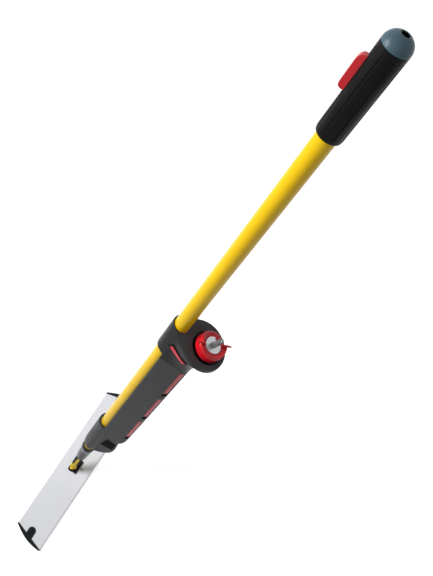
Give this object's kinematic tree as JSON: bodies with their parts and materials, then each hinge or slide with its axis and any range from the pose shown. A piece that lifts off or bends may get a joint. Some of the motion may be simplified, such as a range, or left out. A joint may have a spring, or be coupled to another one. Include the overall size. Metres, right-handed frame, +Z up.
{
  "type": "spray mop",
  "caption": "Flat-frame spray mop: yellow pole on a universal joint, water reservoir with a red filler cap, spray nozzles, ribbed grip with a trigger.",
  "frame": {"origin": "middle of the face that carries the cleaning pad, on the underside of the hook strips", "axes": "+Z up out of the pad face, +X along the frame, reservoir and nozzles on the -Y side"},
  "size_m": [0.9107, 0.5595, 1.1809],
  "materials": {
    "plate_white": "smooth white plastic",
    "cap_black": "moulded, slightly soft black",
    "felt": "hook strip",
    "bracket_black": "moulded black",
    "steel": "polished",
    "cross_yellow": "moulded yellow",
    "cone_grey": "satin dark grey",
    "ring_grey": "satin ring with glints",
    "pole_yellow": "gloss yellow paint",
    "shroud_grey": "fine moulded texture",
    "tank_red": "translucent red",
    "head_black": "satin black",
    "cap_red": "glossy red",
    "grip_black": "ribbed rubber",
    "dome_slate": "satin slate blue",
    "inner_black": "plain",
    "seal": "moulded seal"
  },
  "bodies": {
    "handle": {"yoke_fork": "bracket_black", "adapter_core": "cross_yellow", "adapter_cone": "cone_grey", "collar_spring": "steel", "pole_socket": "cap_black", "nozzle_housing": "shroud_grey", "nozzle_block": "bracket_black", "nozzle_tip_1": "inner_black", "nozzle_tip_2": "inner_black", "nozzle_tip_3": "inner_black", "shroud_left": "shroud_grey", "shroud_right": "shroud_grey", "tank": "tank_red", "shroud_screw_1": "steel", "shroud_screw_2": "steel", "shroud_screw_3": "steel", "head_shell": "head_black", "head_pane_left": "tank_red", "head_pane_right": "tank_red", "tank_neck": "tank_red", "grip_sleeve": "grip_black", "grip_end_cap": "dome_slate", "trigger_pin": "steel", "pole_tube": "pole_yellow", "rod_guide_low": "inner_black", "rod_guide_middle": "inner_black", "rod_guide_high": "inner_black", "pump_barrel": "inner_black", "pump_gland": "inner_black", "pump_spring": "steel"},
    "trigger": {"trigger_lever": "cap_red", "link_pin": "steel"},
    "pump_rod": {"pull_rod": "inner_black", "pump_piston": "inner_black", "piston_seal": "seal"},
    "collar": {"release_collar": "ring_grey"},
    "cap_seal": {"cap_gasket": "seal"},
    "cap": {"fill_cap": "cap_red", "coupling_disc": "steel", "coupling_nipple": "steel", "poppet_spring": "steel"},
    "poppet": {"nipple_poppet": "steel"},
    "cross": {"cross_block": "cross_yellow", "upper_pin": "steel"},
    "frame": {"frame_plate": "plate_white", "end_cap_left": "cap_black", "end_cap_right": "cap_black", "hook_strip_1": "felt", "hook_strip_2": "felt", "hook_strip_3": "felt", "base_bracket": "bracket_black", "lower_pin": "steel", "bracket_screw_left": "steel", "bracket_screw_right": "steel", "end_cap_rivet_left": "cap_black", "end_cap_rivet_right": "cap_black"}
  },
  "joints": [
    {"name": "upper_swing", "type": "hinge", "parent": "handle", "child": "cross", "pos_m": [0, -0.00578, 0.0373], "axis": [0, -0.9171, -0.3987], "range_deg": [-88.5, 31.5]},
    {"name": "lower_tilt", "type": "hinge", "parent": "cross", "child": "frame", "pos_m": [0, 0, 0.024], "axis": [1, 0, 0], "range_deg": [-41.5, 83.5]},
    {"name": "trigger_squeeze", "type": "hinge", "parent": "handle", "child": "trigger", "pos_m": [0.65037, -0.47241, 1.14056], "axis": [0.8788, 0.1903, -0.4376], "range_deg": [-10, 0]},
    {"name": "pump_stroke", "type": "slide", "parent": "handle", "child": "pump_rod", "axis": [0.4772, -0.3504, 0.8059], "range_m": [0, 0.002], "stiffness_N_per_m": 1500, "springref_m": -0.003, "deforming": ["pump_spring"]},
    {"name": "collar_slide", "type": "slide", "parent": "handle", "child": "collar", "axis": [0.4772, -0.3504, 0.8059], "range_m": [0, 0.0035], "stiffness_N_per_m": 300, "springref_m": -0.002, "deforming": ["collar_spring"]},
    {"name": "cap_lift", "type": "slide", "parent": "handle", "child": "cap_seal", "axis": [0.4609, -0.5758, 0.6753], "range_m": [0, 0.06]},
    {"name": "cap_turn", "type": "hinge", "parent": "cap_seal", "child": "cap", "pos_m": [0.36928, -0.33201, 0.6371], "axis": [0.4609, -0.5758, 0.6753], "range_deg": [0, 90]},
    {"name": "poppet_press", "type": "slide", "parent": "cap", "child": "poppet", "axis": [-0.4609, 0.5758, -0.6753], "range_m": [0, 0.004], "stiffness_N_per_m": 200, "springref_m": -0.002, "deforming": ["poppet_spring"]}
  ],
  "couplings": [
    {"joint": "trigger_squeeze", "follows": "pump_stroke", "rad_per_m": -83.333}
  ]
}
